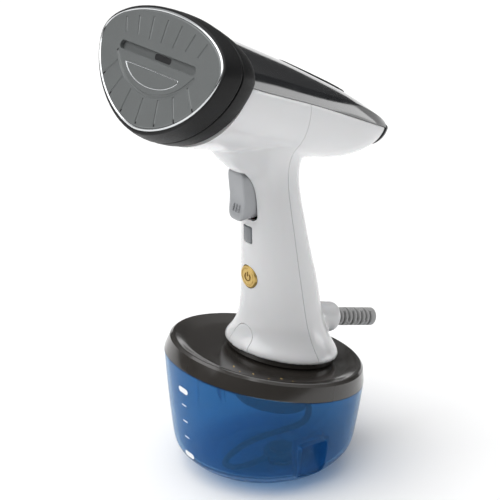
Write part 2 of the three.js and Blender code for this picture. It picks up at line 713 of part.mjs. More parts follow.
// Tank sections: centre z, radius and tilt in degrees, from the flat base to the seam.
const TANK_SECTIONS = [
  [0, TANK_BASE_RADIUS, 0],
  [1.8, 34, 0],
  [4.6, 40, 0],
  [8.2, 45.5, 0],
  [12.2, 49.4, 0],
  [17, 51.9, 0],
  [30, 53.8, 3.6],
  [45, 55.7, 8.4],
  [SEAM_CENTRE[2], SEAM_RADIUS, 12.7],
];

function tankRing([z, radius, tilt], inset, lift = 0) {
  return handleRing([0, z + lift, radius, radius, tilt], inset, 36);
}

function gripRecess(extra) {
  const { floor, centre, halfWidth, top } = GRIP_RECESS;
  const low = -20;
  return [-1, 1].map((side) => box(40, 2 * (halfWidth + extra), top + extra - low,
    side * (floor - extra + 20), centre, (top + extra + low) / 2));
}

function plugHole(radius) {
  return rod(radius, 40, 70, 16).rotateX(-Math.PI / 2).translate(0, 0, PLUG.z);
}

function tank() {
  const outer = loft(TANK_SECTIONS.map((section) => tankRing(section, 0)));
  const last = TANK_SECTIONS.length - 1;
  const inside = loft(TANK_SECTIONS.map((section, i) => {
    const lift = i === 0 ? TANK_WALL : TANK_WALL * (1 - i / last);
    return tankRing(section, TANK_WALL, i === last ? 2 : lift);
  }));
  const hollow = cut(inside, ...gripRecess(TANK_WALL));
  return cut(outer, ...gripRecess(0), hollow, plugHole(PLUG.radius));
}

// The tank is moulded as a floor and a side wall, welded together.
function tankHalf(side) {
  const reach = 150;
  const half = box(reach, reach, reach, 0, 0, TANK_WELD + side * (reach + GAP) / 2);
  return common(tank(), half);
}

function tankLid() {
  const edge = SEAM_RADIUS;
  const cap = lathe([[0, LID_DISH - 2], [50, LID_DISH - 2], [edge - 2.6, 4], [edge - 2.2, GAP], [edge, GAP],
    [edge - 0.6, 4.6], [edge - 1.9, 8.3], [edge - 3.8, 9.6], [edge - 6.2, 9.2], [47, LID_DISH + 0.6],
    [44.4, LID_DISH], [0, LID_DISH]], 42);
  return cut(cap, rod(SOCKET.inner, -10, 30, 32).translate(0, NECK_OFFSET, 0));
}

function valveHousing() {
  const { outer, inner, top, floor, bottom } = SOCKET;
  const hole = 2.8;
  return lathe([[hole, bottom], [outer, bottom], [outer, top], [inner, top], [inner, floor], [hole, floor]], 32);
}

function tankValve() {
  const { floor, bottom } = SOCKET;
  return lathe([[0, bottom - 3], [6.5, bottom - 3], [6.5, bottom - GAP], [2.2, bottom - GAP], [2.2, floor + 2.8],
    [0, floor + 2.8]], 16);
}

const FILTER = { x: 12.9, y: 2.7, radius: 10, low: 2.6, height: 8 };

function fillerPlug() {
  const inner = 52;
  const outer = 58.3;
  return lathe([[0, inner], [PLUG.radius - GAP, inner], [PLUG.radius - GAP, outer - 2], [PLUG.radius + 2, outer - 1.6],
    [PLUG.radius + 2, outer - 0.4], [PLUG.radius + 1, outer], [0, outer]], 16).rotateX(-Math.PI / 2);
}

piece(steamer, 'tank', tankHalf(1), BLUE_CLEAR);
piece(steamer, 'tank_floor', tankHalf(-1), BLUE_CLEAR);
piece(steamer, 'filler_plug', fillerPlug(), SOFT_RUBBER, [0, 0, PLUG.z]);
piece(lidFrame, 'tank_lid', tankLid(), DARK_LID);
piece(lidFrame, 'lid_gasket', ring(54.0, 51.6, -1.6, 0, 28), SOFT_RUBBER);
piece(neckFrame, 'valve_housing', valveHousing(), BLACK_NYLON);
piece(neckFrame, 'tank_valve', tankValve(), SILVER_PAINT);
piece(neckFrame, 'valve_spring', spring(3.3, 0.4, 2.2, 2), STEEL, [0, 0, SOCKET.floor + 0.6]);
piece(steamer, 'pickup_hose', bar([
  [14, 17, 41], [18, 20, 32], [17, 17, 22], [8, 2, 17], [2.7, -12, 14], [2, -26, 9.5], [6, -33, 7.6],
  [12, -31, 6.6], [13.5, -21, 6.4], [13, -8.2, 6.4],
], 1.9, 26, 8), DARK_HOSE);
piece(steamer, 'inlet_filter', rod(FILTER.radius, FILTER.low, FILTER.low + FILTER.height, 24), FILTER_PLASTIC,
  [FILTER.x, FILTER.y, 0]);

export default steamer;
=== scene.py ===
# %% [markdown]
# A hand-held garment steamer, standing on its own water tank. Every piece below is built round a
# CAD model that is loaded first and never moved: the CAD says where things are and how they move,
# and these cells give the pieces their fine shape and their finish.

import math

import bmesh
import bpy
from mathutils import Matrix, Vector


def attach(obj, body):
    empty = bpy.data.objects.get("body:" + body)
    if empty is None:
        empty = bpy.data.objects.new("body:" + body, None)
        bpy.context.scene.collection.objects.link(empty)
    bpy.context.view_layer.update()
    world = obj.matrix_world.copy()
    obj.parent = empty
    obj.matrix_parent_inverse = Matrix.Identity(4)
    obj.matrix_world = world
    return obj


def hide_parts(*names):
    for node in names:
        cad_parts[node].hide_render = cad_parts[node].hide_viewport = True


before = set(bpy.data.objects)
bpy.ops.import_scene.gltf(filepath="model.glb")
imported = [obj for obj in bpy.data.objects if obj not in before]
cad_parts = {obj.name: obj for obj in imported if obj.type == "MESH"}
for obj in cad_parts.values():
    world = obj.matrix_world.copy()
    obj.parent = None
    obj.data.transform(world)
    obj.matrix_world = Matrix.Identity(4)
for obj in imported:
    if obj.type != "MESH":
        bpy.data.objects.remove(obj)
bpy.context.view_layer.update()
MM = 0.001

# %% [markdown]
# The camera stands a little above the steamer, to the right of its face, with a long lens so that
# the upright edges stay nearly parallel. Its place is stated from the centre of the tank's foot.

# %% Camera
CAMERA_PLACE = Vector((553.6, -419.9, 426.6)) * MM
AZIMUTH, ELEVATION = math.radians(53.48), math.radians(23.19)
sight = Vector((-math.sin(AZIMUTH) * math.cos(ELEVATION), math.cos(AZIMUTH) * math.cos(ELEVATION),
                -math.sin(ELEVATION)))
camera_data = bpy.data.cameras.new("studio_camera")
camera_data.lens, camera_data.sensor_width = 99.144, 36
camera = bpy.data.objects.new("studio_camera", camera_data)
camera.location = CAMERA_PLACE
camera.rotation_euler = sight.to_track_quat("-Z", "Y").to_euler()
bpy.context.scene.collection.objects.link(camera)
bpy.context.scene.camera = camera
bpy.context.scene.view_settings.view_transform = "Standard"
print("camera looks along", [round(c, 3) for c in sight])

# %% [markdown]
# A finish is a small net of nodes. One helper adds a node, sets its properties and joins its
# inputs, and one more turns a colour written the usual way into the linear light that Blender
# mixes. Patterns are measured in millimetres on the object itself.

# %% Helpers for finishes
def linear(code):
    """A colour such as "#2f6096" as linear light, with full opacity."""
    channels = [int(code[i:i + 2], 16) / 255 for i in (1, 3, 5)]
    return [c / 12.92 if c <= 0.04045 else ((c + 0.055) / 1.055) ** 2.4 for c in channels] + [1.0]


def add(owner, kind, inputs=(), **settings):
    """Adds a node to a material or a world. An input is given a value, or the socket that feeds it."""
    node = owner.node_tree.nodes.new(kind)
    for key, value in settings.items():
        setattr(node, key, value)
    for key, value in dict(inputs).items():
        if isinstance(value, bpy.types.NodeSocket):
            owner.node_tree.links.new(value, node.inputs[key])
        else:
            node.inputs[key].default_value = value
    return node


def moulded(name, tones, patch_mm, roughness, grain_mm, relief_mm, **shader_values):
    """A finish whose colour drifts softly between two tones, with a fine grain in its gloss and relief."""
    mat = bpy.data.materials.new(name)
    mat.use_nodes = True
    shader = mat.node_tree.nodes["Principled BSDF"]
    place = add(mat, "ShaderNodeTexCoord").outputs["Object"]
    drift = add(mat, "ShaderNodeTexNoise", {"Vector": place, "Scale": 1 / (patch_mm * MM), "Detail": 2.0})
    grain = add(mat, "ShaderNodeTexNoise", {"Vector": place, "Scale": 1 / (grain_mm * MM), "Detail": 4.0})
    tone = add(mat, "ShaderNodeMix", {0: drift.outputs["Fac"], 6: linear(tones[0]), 7: linear(tones[1])},
               data_type="RGBA")
    gloss = add(mat, "ShaderNodeMapRange", {"Value": grain.outputs["Fac"], "From Min": 0.3, "From Max": 0.7,
                                            "To Min": roughness[0], "To Max": roughness[1]})
    relief = add(mat, "ShaderNodeBump", {"Height": grain.outputs["Fac"], "Distance": relief_mm * MM,
                                         "Strength": 1.0})
    links = mat.node_tree.links
    links.new(tone.outputs[2], shader.inputs["Base Color"])
    links.new(gloss.outputs["Result"], shader.inputs["Roughness"])
    links.new(relief.outputs["Normal"], shader.inputs["Normal"])
    for key, value in shader_values.items():
        shader.inputs[key.replace("_", " ").title().replace("Ior", "IOR")].default_value = value
    return mat


# %% [markdown]
# The housings are injection-moulded ABS: a polished tool gives the white shells their gloss, and a
# faint orange peel about 6 mm across keeps the reflections from being perfectly straight.

# %% Plastics
white_abs = moulded("white_abs_polished_mould", ("#dcddde", "#d8d8da"), 60, (0.16, 0.24), 6, 0.004,
                    coat_weight=0.25, coat_roughness=0.08, subsurface_weight=0.04, subsurface_scale=0.004)
collar_nylon = moulded("black_glass_filled_nylon", ("#0d0d0e", "#111112"), 20, (0.42, 0.56), 0.7, 0.02,
                       specular_ior_level=0.25)
cover_abs = moulded("charcoal_abs_high_gloss", ("#232426", "#292a2c"), 40, (0.07, 0.13), 8, 0.003,
                    coat_weight=0.5, coat_roughness=0.04)
lid_abs = moulded("brown_black_abs_semi_gloss", ("#2b2825", "#33302d"), 30, (0.14, 0.24), 5, 0.006,
                  coat_weight=0.3, coat_roughness=0.1)
inner_nylon = moulded("dark_inner_nylon", ("#16181c", "#1d2026"), 15, (0.4, 0.55), 0.8, 0.02)
socket_nylon = moulded("navy_socket_nylon", ("#121a33", "#18213c"), 15, (0.35, 0.5), 0.8, 0.01)
switch_plastic = moulded("black_switch_plastic", ("#1a1a1c", "#232325"), 10, (0.4, 0.6), 0.5, 0.01)
filter_plastic = moulded("charcoal_filter_plastic", ("#24262a", "#2e3137"), 8, (0.4, 0.55), 0.6, 0.02)
seal_rubber = moulded("black_silicone_rubber", ("#232325", "#2d2d2f"), 12, (0.6, 0.8), 0.5, 0.015)
relief_rubber = moulded("grey_soft_pvc", ("#9a9a9a", "#a8a8a8"), 9, (0.45, 0.6), 0.6, 0.02)
clear_hose = moulded("milky_silicone_hose", ("#d8d4c8", "#c8c4b6"), 10, (0.3, 0.45), 1.5, 0.01)
dark_hose = moulded("dark_rubber_hose", ("#23262c", "#30343b"), 10, (0.35, 0.5), 1.2, 0.01)
white_print = moulded("white_pad_print", ("#f6f7f8", "#e9ebee"), 3, (0.5, 0.65), 0.4, 0.004)

# %% [markdown]
# Metals and painted parts. Cast and pressed metals keep a fine grain; the trigger and the power
# button are plastic with a metallic paint, whose tiny flakes show as a soft sparkle.

# %% Metals and paints
cast_aluminium = moulded("die_cast_aluminium", ("#a9abad", "#8f9193"), 12, (0.42, 0.6), 1.2, 0.05, metallic=0.9)
steel = moulded("drawn_spring_steel", ("#b9bbbe", "#a5a7ab"), 8, (0.22, 0.36), 0.8, 0.01, metallic=1.0)
rim_aluminium = moulded("polished_aluminium_rim", ("#d9dbdc", "#c6c9cb"), 10, (0.14, 0.24), 1.5, 0.004,
                        metallic=1.0)
plate_ceramic = moulded("sprayed_ceramic_coat", ("#6c6f6f", "#727575"), 14, (0.34, 0.5), 0.9, 0.02,
                        metallic=0.35)
silver_paint = moulded("silver_metallic_paint", ("#9b9da0", "#a8aaad"), 16, (0.28, 0.42), 0.35, 0.003,
                       metallic=0.3)
gold_paint = moulded("gold_metallic_paint", ("#d0b26c", "#bea05e"), 5, (0.26, 0.4), 0.35, 0.006, metallic=0.75)
circuit_board = moulded("green_solder_mask", ("#2c5a3a", "#234c30"), 6, (0.35, 0.5), 0.6, 0.01)
smoked_lens = moulded("smoked_polycarbonate", ("#6f7377", "#5d6165"), 6, (0.06, 0.12), 4, 0.002,
                      coat_weight=0.6, coat_roughness=0.03)

# %% [markdown]
# The tank is moulded from clear SAN plastic with a blue dye. It is a real hollow wall here, so light
# bends in and out of it. A share of the light scatters on the dye, which keeps the wall blue in
# front of the dark lid, and shadows that fall through the wall are only faintly tinted.

# %% Clear blue tank plastic
tank_blue = moulded("blue_clear_san", ("#7bb2da", "#76acd4"), 40, (0.02, 0.04), 9, 0.002,
                    transmission_weight=1.0, ior=1.25)
tank_shader = tank_blue.node_tree.nodes["Principled BSDF"]
dyed_light = add(tank_blue, "ShaderNodeBsdfTransparent", {"Color": linear("#dcebf8")})
shadow_ray = add(tank_blue, "ShaderNodeLightPath")
DYE_SHARE = 0.24
dye = add(tank_blue, "ShaderNodeBsdfDiffuse", {"Color": linear("#2c6fa6")})
dyed_wall = add(tank_blue, "ShaderNodeMixShader", {
    0: DYE_SHARE, 1: tank_shader.outputs["BSDF"], 2: dye.outputs["BSDF"]})
walls = add(tank_blue, "ShaderNodeMixShader", {
    0: shadow_ray.outputs["Is Shadow Ray"], 1: dyed_wall.outputs["Shader"], 2: dyed_light.outputs["BSDF"]})
tank_surface = tank_blue.node_tree.nodes["Material Output"].inputs["Surface"]
tank_blue.node_tree.links.new(walls.outputs["Shader"], tank_surface)

# %% [markdown]
# Shapes are drawn in millimetres with bmesh operators. Three helpers cover most of them: a ring
# that is moved into place and bridged to the next, a profile spun about an axis, and a tool that
# is cut out of a solid or joined to it.

# %% Helpers for shapes
def ring(bm, sides, place):
    """Adds one closed loop, a circle whose points are moved to place(angle), and returns its edges."""
    points = bmesh.ops.create_circle(bm, segments=sides, radius=1)["verts"]
    edges = list({edge for point in points for edge in point.link_edges})
    for point in points:
        point.co = place(math.atan2(point.co.y, point.co.x))
    return edges


def skin(sides, places, closed=False):
    """A closed solid through a row of rings; closed joins the last ring to the first instead of capping."""
    bm = bmesh.new()
    rings = [ring(bm, sides, place) for place in places]
    pairs = list(zip(rings, rings[1:])) + ([(rings[-1], rings[0])] if closed else [])
    for low, high in pairs:
        bmesh.ops.bridge_loops(bm, edges=low + high)
    if not closed:
        bmesh.ops.holes_fill(bm, edges=rings[0] + rings[-1], sides=0)
    bmesh.ops.recalc_face_normals(bm, faces=bm.faces)
    return bm


def turned(profile, steps=96):
    """A solid of revolution about Z from (radius, height) pairs, which end on the axis or form a loop."""
    bm = bmesh.new()
    points = [bm.verts.new((radius, 0, height)) for radius, height in profile]
    around = points[1:] + ([points[0]] if profile[0][0] > 0 else [])
    edges = [bm.edges.new(pair) for pair in zip(points, around)]
    bmesh.ops.spin(bm, geom=points + edges, cent=(0, 0, 0), axis=(0, 0, 1), angle=2 * math.pi, steps=steps,
                   use_merge=True)
    bmesh.ops.remove_doubles(bm, verts=bm.verts, dist=1e-4)
    bmesh.ops.recalc_face_normals(bm, faces=bm.faces)
    return bm


def block(size, centre, turn=None):
    """A cuboid tool of the given size round its centre."""
    bm = bmesh.new()
    bmesh.ops.create_cube(bm, size=1)
    bmesh.ops.scale(bm, vec=size, verts=bm.verts)
    if turn:
        bmesh.ops.transform(bm, matrix=turn, verts=bm.verts)
    bmesh.ops.translate(bm, vec=centre, verts=bm.verts)
    return bm


def bar_ring(centre, side, up):
    return lambda angle: centre + side * math.cos(angle) + up * math.sin(angle)


def tube(points, radius, sides=16, rounds=3):
    """A round bar through the given points, eased by rounds of corner cutting."""
    path = [Vector(point) for point in points]
    for _ in range(rounds):
        eased = [path[0]]
        for a, b in zip(path, path[1:]):
            eased += [a.lerp(b, 0.25), a.lerp(b, 0.75)]
        path = eased + [path[-1]]
    side = (path[1] - path[0]).orthogonal().normalized()
    places = []
    for i, centre in enumerate(path):
        along = (path[min(i + 1, len(path) - 1)] - path[max(i - 1, 0)]).normalized()
        side = (side - along * side.dot(along)).normalized()
        up = along.cross(side)
        places.append(bar_ring(centre, side * radius, up * radius))
    return skin(sides, places)


def shifted(bm, matrix):
    bmesh.ops.transform(bm, matrix=matrix, verts=bm.verts)
    return bm


def loose(bm):
    """A helper object that holds a bmesh for a modifier to use."""
    mesh = bpy.data.meshes.new("tool")
    bm.to_mesh(mesh)
    bm.free()
    helper = bpy.data.objects.new("tool", mesh)
    bpy.context.scene.collection.objects.link(helper)
    return helper


def settled(host, helpers=()):
    """The host's mesh with its modifiers done, as a new bmesh; the helper objects are removed."""
    bpy.context.view_layer.update()
    bm = bmesh.new()
    bm.from_object(host, bpy.context.evaluated_depsgraph_get())
    for helper in (host, *helpers):
        mesh = helper.data
        bpy.data.objects.remove(helper)
        bpy.data.meshes.remove(mesh)
    return bm


def carve(target, *tools, operation="DIFFERENCE"):
    """Cuts the tools out of the target, or joins or crosses them with it."""
    host = loose(target)
    helpers = [loose(tool) for tool in tools]
    for helper in helpers:
        step = host.modifiers.new("cut", "BOOLEAN")
        step.operation, step.solver, step.object = operation, "EXACT", helper
    return settled(host, helpers)


def piece(bm, name, body, mat, replaces=(), place=None, bevel_mm=0, crease=35):
    """Makes the finished object: in metres, in the row frame, riding on its CAD body."""
    if place:
        bmesh.ops.transform(bm, matrix=place, verts=bm.verts)
    bmesh.ops.scale(bm, vec=(MM, MM, MM), verts=bm.verts)
    mesh = bpy.data.meshes.new(name)
    bm.to_mesh(mesh)
    bm.free()
    mesh.shade_smooth()
    obj = bpy.data.objects.new(name, mesh)
    bpy.context.scene.collection.objects.link(obj)
    mesh.materials.append(mat)
    if bevel_mm:
        soften(obj, bevel_mm, crease)
    else:
        mesh.set_sharp_from_angle(angle=math.radians(crease))
    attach(obj, body)
    if replaces:
        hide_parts(*replaces)
    print(name, len(mesh.polygons), "faces")
    return obj


def soften(obj, width_mm, crease=35):
    """Rounds the edges that a mould or a press leaves slightly blunt."""
    edge = obj.modifiers.new("soft_edges", "BEVEL")
    edge.width, edge.segments, edge.limit_method = width_mm * MM, 3, "ANGLE"
    edge.angle_limit, edge.harden_normals = math.radians(crease), True


# %% [markdown]
# Four places recur: the head, which slopes down to the rear; the lid, whose plane leans; the neck
# on it, set back from the lid's centre; and the cord's way out of the handle.

# %% Places on the object
HEAD = Matrix.Translation((0, -69.5, 242.4)) @ Matrix.Rotation(math.radians(-23.8), 4, "X")
LID = Matrix.Translation((0, 0, 59.4)) @ Matrix.Rotation(math.radians(-12.7), 4, "X")
NECK = LID @ Matrix.Translation((0, 10.4, 0))
CORD = Matrix.Translation((0, 50, 74.2)) @ Matrix.Rotation(math.radians(-90 - 16.2), 4, "X")
print("head slopes to", [round(c, 1) for c in HEAD @ Vector((0, 147, 0))])

# %% [markdown]
# The steam plate is pressed aluminium with a sprayed ceramic coat, so it glides over cloth. Its
# outline is half an ellipse above its widest line and a fuller, tapering curve below it. A polished
# rim shows round the coat. The grooves, which let steam spread, are round bars cut into the face.

# %% Plate outline
PLATE_HALF_WIDTH, PLATE_TOP, PLATE_BOTTOM, PLATE_WIDEST = 53.2, 30, -30.2, 9
PLATE_FULLNESS = 1.75  # 2 would make the lower half an ellipse


def plate_point(inset, deeper=0, depth=0):
    """Returns place(angle) for a ring on the plate's outline, in head space."""
    def place(angle):
        across, up = math.cos(angle), math.sin(angle)
        half_width = PLATE_HALF_WIDTH - inset
        if up >= 0:
            x, z = half_width * across, PLATE_WIDEST + (PLATE_TOP - inset - PLATE_WIDEST) * up
        else:
            power = 2 / PLATE_FULLNESS
            drop = (PLATE_WIDEST - PLATE_BOTTOM - inset) * abs(up) ** power
            x, z = half_width * math.copysign(abs(across) ** power, across), PLATE_WIDEST - drop
        below = max(0, (PLATE_WIDEST - z) / (PLATE_WIDEST - PLATE_BOTTOM))
        return Vector((x, depth, z - deeper * below))
    return place


# %% Steam plate with its grooves
SLOT_AT, SLOT_HALF_LENGTH, SLOT_HALF_HEIGHT = 6.7, 33.5, 2.3
OUTLET_AT, OUTLET_HALF_LENGTH, OUTLET_HALF_HEIGHT = 2.5, 7.2, 1.6
GROOVE_RADIUS = 0.75
fan = []
for x, low, x_out, high in ((0, 13.8, 0, 25.5), (10.4, 13.5, 12.4, 24.9), (21, 13.9, 24.6, 23.2),
                            (31.7, 13.2, 35.7, 20.6), (0, -14.4, 0, -27.6), (12.2, -12.4, 15.3, -25.2),
                            (22.8, -8.4, 29.7, -20.2), (31.3, -1.6, 41, -11.8)):
    for side in ((1, -1) if x else (1,)):
        fan.append(tube([(side * x, 0, low), (side * x_out, 0, high)], GROOVE_RADIUS, 8, 0))
arc = [(-34.5, 0, 3.6), (-31.3, 0, 0.3), (-24, 0, -6.4), (-12.2, 0, -11), (0, 0, -12.8), (12.2, 0, -11),
       (24, 0, -6.4), (31.3, 0, 0.3), (34.5, 0, 3.6)]
fan.append(tube(arc, GROOVE_RADIUS * 1.3, 8, 2))


def slot_tool(half_length, half_height, deep, centre=0):
    """A flat bar with round ends, standing across the slot."""
    def place(y):
        def at(angle):
            x, z = math.cos(angle), math.sin(angle)
            reach = half_length - half_height
            return Vector((centre + x * half_height + math.copysign(reach, x), y, SLOT_AT + z * half_height))
        return at
    return skin(32, [place(-4), place(deep)])


face = skin(160, [plate_point(2.2, depth=0.15), plate_point(1.5, depth=0.55), plate_point(1.5, depth=3.2)])
face = carve(face, slot_tool(SLOT_HALF_LENGTH, SLOT_HALF_HEIGHT, 2.4),
             slot_tool(OUTLET_HALF_LENGTH, OUTLET_HALF_HEIGHT, 6, OUTLET_AT), *fan)
piece(face, "steam_plate_face", "handle", plate_ceramic, ["steam_plate"], HEAD, crease=28)

# %% [markdown]
# The rim is the same aluminium left bare and polished: a thin rounded ring round the coat.

# %% Plate rim
rim = skin(160, [plate_point(0.9, depth=0.02), plate_point(0.2, depth=0.3), plate_point(0, depth=0.9),
                 plate_point(0, depth=3.2), plate_point(1.4, depth=3.2), plate_point(1.4, depth=0.4)], closed=True)
piece(rim, "steam_plate_rim", "handle", rim_aluminium, place=HEAD, crease=50)
frame_line = [(-24, 0.12, -0.6), (-20, 0.12, -4.2), (-12, 0.12, -7.6), (0, 0.12, -9), (12, 0.12, -7.6),
              (20, 0.12, -4.2), (24, 0.12, -0.6), (20, 0.12, -0.4), (0, 0.12, -0.2), (-20, 0.12, -0.4),
              (-24, 0.12, -0.6)]
piece(tube(frame_line, 0.32, 8, 2), "plate_print_line", "handle", rim_aluminium, place=HEAD)

# %% [markdown]
# The steam outlet at the middle of the slot is a passage into the boiler; a thin black sheet set just inside it is
# painted shade for the dark inside of the passage.

# %% Steam outlet
def outlet_ring(depth):
    """A rectangle with clipped corners, a little inside the outlet's hole."""
    def place(angle):
        across, up = (max(-1, min(1, 1.4 * part)) for part in (math.cos(angle), math.sin(angle)))
        return Vector((OUTLET_AT + 7 * across, depth, SLOT_AT + 1.55 * up))
    return place


outlet = skin(24, [outlet_ring(2.5), outlet_ring(3.1)])
# This thin black sheet is painted shade: it stands for the dark inside the outlet, not for a real part.
piece(outlet, "steam_outlet_shadow", "handle", switch_plastic, place=HEAD)

# %% [markdown]
# Two collars of black glass-filled nylon keep the hot plate away from the white shell. Each is a
# ring with a slightly rounded outside, and the narrow groove between them reads as a dark line.

# %% Collars
COLLAR_WALL = 4.5


def collar(rings):
    """A band through (inset, deeper, depth) rings, with a straight inner wall."""
    first, last = rings[0], rings[-1]
    inner = [(last[0] + COLLAR_WALL, last[1], last[2]), (first[0] + COLLAR_WALL, first[1], first[2])]
    return skin(160, [plate_point(inset, deeper, depth) for inset, deeper, depth in rings + inner], closed=True)


front_band = [(-0.35, 0.3, 0.5), (-1.0, 0.7, 0.9), (-1.3, 1.4, 4), (-1.45, 2.0, 8), (-1.35, 2.4, 11.1),
              (-0.6, 2.5, 11.7)]
rear_band = [(0.1, 2.8, 12.1), (-0.75, 2.9, 12.7), (-0.5, 3.3, 15), (0.5, 4.2, 19), (1.2, 4.7, 21), (1.8, 5.1, 22)]
for name, band, node in (("front_collar_band", front_band, "front_collar"),
                         ("rear_collar_band", rear_band, "rear_collar")):
    piece(collar(band), name, "handle", collar_nylon, [node], HEAD, bevel_mm=0.35, crease=40)

# %% [markdown]
# The white body is one smooth skin: a leaning handle that opens into a flare at its foot and blends
# into the belly of the head. The three simple solids are joined, skinned again at about 0.9 mm and
# relaxed, which fills the corners between them as the mould's fillets do. Only then are the joint
# with the cover, the openings and the seam between its two halves cut, so their edges stay crisp.

# %% Handle and head sections
HANDLE_SECTIONS = [  # centre y, centre z, half-width, half-depth, tilt in degrees
    (12.3, 67.3, 33.2, 33.2, 12.7), (12.4, 70.4, 32.4, 32.4, 12.7), (12.3, 75.5, 28.9, 28.9, 11),
    (12.0, 81.5, 26.0, 26.0, 8.5), (11.7, 88, 24.1, 24.1, 6), (11.2, 96, 22.7, 22.7, 3),
    (10.1, 110, 21.2, 21.2, 0), (7.7, 127, 19.3, 19.3, -3), (5.6, 145, 17.6, 17.6, -4),
    (4.0, 158, 16.2, 16.7, -4), (2.7, 169, 15.5, 17.0, -4), (1.0, 178, 16.4, 19.4, -4),
    (-1.8, 186, 19.3, 25.2, -2), (-3.5, 193, 23.5, 31.5, 4), (-4.5, 199, 27.5, 36.5, 12)]
HEAD_SECTIONS = [  # depth, half-width, side seam, crease, crown, underside
    (22.3, 50.4, 8.1, 15.6, 27.2, -33.0), (34, 47.9, 8.1, 15.9, 26.8, -31.6),
    (50, 44.3, 8.5, 16.1, 26.0, -29.2), (70, 39.9, 9.0, 16.2, 24.9, -25.6),
    (92, 35.0, 9.1, 16.4, 23.0, -23.6), (112, 30.2, 8.8, 16.4, 20.8, -20.0),
    (127, 26.4, 8.7, 15.0, 18.2, -16.8), (138, 23.2, 8.6, 13.4, 15.6, -12.6),
    (147, 19.4, 8.5, 11.4, 12.8, -6.6)]
HEAD_FRONT, HEAD_END = HEAD_SECTIONS[0][0], HEAD_SECTIONS[-1][0]
WALL = 2.2


def eased(rows, steps):
    """Rows of numbers with smooth in-between rows, on Catmull-Rom curves."""
    out = []
    for i in range(len(rows) - 1):
        p = [rows[max(0, min(len(rows) - 1, k))] for k in (i - 1, i, i + 1, i + 2)]
        for step in range(steps):
            t = step / steps
            out.append(tuple(0.5 * (2 * b + (c - a) * t + (2 * a - 5 * b + 4 * c - d) * t * t
                                    + (3 * b - a - 3 * c + d) * t ** 3) for a, b, c, d in zip(*p)))
    return out + [rows[-1]]


def handle_ring(section, inset=0):
    y, z, half_width, half_depth, tilt = section
    lean = math.radians(tilt)
    def place(angle):
        along = (half_depth - inset) * math.sin(angle)
        return Vector(((half_width - inset) * math.cos(angle), y + along * math.cos(lean),
                       z - along * math.sin(lean)))
    return place


def body_ring(section, inset=0, lift=6):
    """The head's section: rounded underneath, carried a little above the side seam for the cut."""
    depth, half_width, seam, _, _, bottom = section
    def place(angle):
        across, up = math.cos(angle), math.sin(angle)
        rise = lift * up if up > 0 else (seam - bottom - inset) * up
        return Vector(((half_width - inset) * across, depth, seam + rise))
    return place


# %% The white skin
SKIN_STEP, SKIN_ROUNDS = 0.9, 14


def handle_solid(inset=0):
    rows = eased(HANDLE_SECTIONS, 3)
    if inset:
        y, z, *rest = rows[0]
        rows = [(y - 2, z - 8, *rest)] + rows
    return skin(96, [handle_ring(row, inset) for row in rows])


def head_solid(inset=0, front=0):
    rows = eased(HEAD_SECTIONS, 3)
    rows[0] = (rows[0][0] - front, *rows[0][1:])
    rows[-1] = (rows[-1][0] - inset, *rows[-1][1:])
    return shifted(skin(96, [body_ring(row, inset, 6 + inset * 2) for row in rows]), HEAD)


def boss_solid():
    return shifted(turned([(0, -24), (8.9, -24), (8.9, -1.6), (8.4, -0.5), (7.3, 0), (0, 0)], 64), CORD)


def relaxed(bm, rounds):
    for _ in range(rounds):
        bmesh.ops.smooth_vert(bm, verts=bm.verts, factor=0.5, use_axis_x=True, use_axis_y=True, use_axis_z=True)
    return bm


joined = carve(handle_solid(), head_solid(front=3), boss_solid(), operation="UNION")
host = loose(joined)
resurface = host.modifiers.new("resurface", "REMESH")
resurface.mode, resurface.voxel_size = "VOXEL", SKIN_STEP
outer_skin = relaxed(settled(host), SKIN_ROUNDS)
print("white skin", len(outer_skin.faces), "faces")

# %% Tools that cut the white skin
GAP = 0.3
FLARE_FOOT = 10.4
TRIGGER_HALF, TRIGGER_TOP, TRIGGER_BOTTOM = 7.2, 179.5, 151.5
BUTTON_Z, BUTTON_RADIUS = 116, 6.6
WINDOW_Z, WINDOW_HALF = 141.4, (3.6, 4.8)


def above_seam(drop=0):
    """Everything over the joint between the white body and the dark cover."""
    rows = eased(HEAD_SECTIONS, 3)
    rows = [(rows[0][0] - 30, *rows[0][1:])] + rows + [(rows[-1][0] + 30, *rows[-1][1:])]
    def corner(row):
        def place(angle):
            x, up = math.cos(angle), math.sin(angle)
            return Vector((math.copysign(90, x), row[0], row[2] - drop if up < 0 else 90))
        return place
    return shifted(skin(4, [lambda a, r=row: corner(r)(a + math.pi / 4) for row in rows]), HEAD)


def arch_tool(clearance):
    """The release button's outline, pushed through the front of the flare."""
    half, low, shoulder = 8.2 + clearance, 54, 79
    def place(y):
        def at(angle):
            if angle < 0:
                return Vector((half * max(-1, min(1, 1.5 * math.cos(angle))), y, low))
            return Vector((half * math.cos(angle), y, shoulder + half * math.sin(angle)))
        return at
    return skin(48, [place(-2), place(-44)])


ahead = shifted(block((160, 60, 160), (0, HEAD_FRONT - 30, 0)), HEAD)
tail_end = shifted(block((160, 60, 160), (0, HEAD_END + 30, 0)), HEAD)
foot = shifted(block((120, 120, 40), (0, 0, FLARE_FOOT - 20)), NECK)
window_tool = block((2 * WINDOW_HALF[0] + 2 * GAP, 40, 2 * WINDOW_HALF[1] + 2 * GAP), (0, -20, WINDOW_Z))
bmesh.ops.bevel(window_tool, geom=[e for e in window_tool.edges if abs((e.verts[0].co - e.verts[1].co).y) > 1],
                offset=1.0, segments=4, profile=0.5, affect="EDGES", material=-1)
button_tool = shifted(turned([(0, 0), (BUTTON_RADIUS + GAP, 0), (BUTTON_RADIUS + GAP, 40), (0, 40)], 48),
                      Matrix.Translation((0, 0, BUTTON_Z)) @ Matrix.Rotation(math.pi / 2, 4, "X"))
trigger_tool = block((2 * TRIGGER_HALF + 2 * GAP, 40, TRIGGER_TOP - TRIGGER_BOTTOM + 1.5), (0, -22, 165.1))
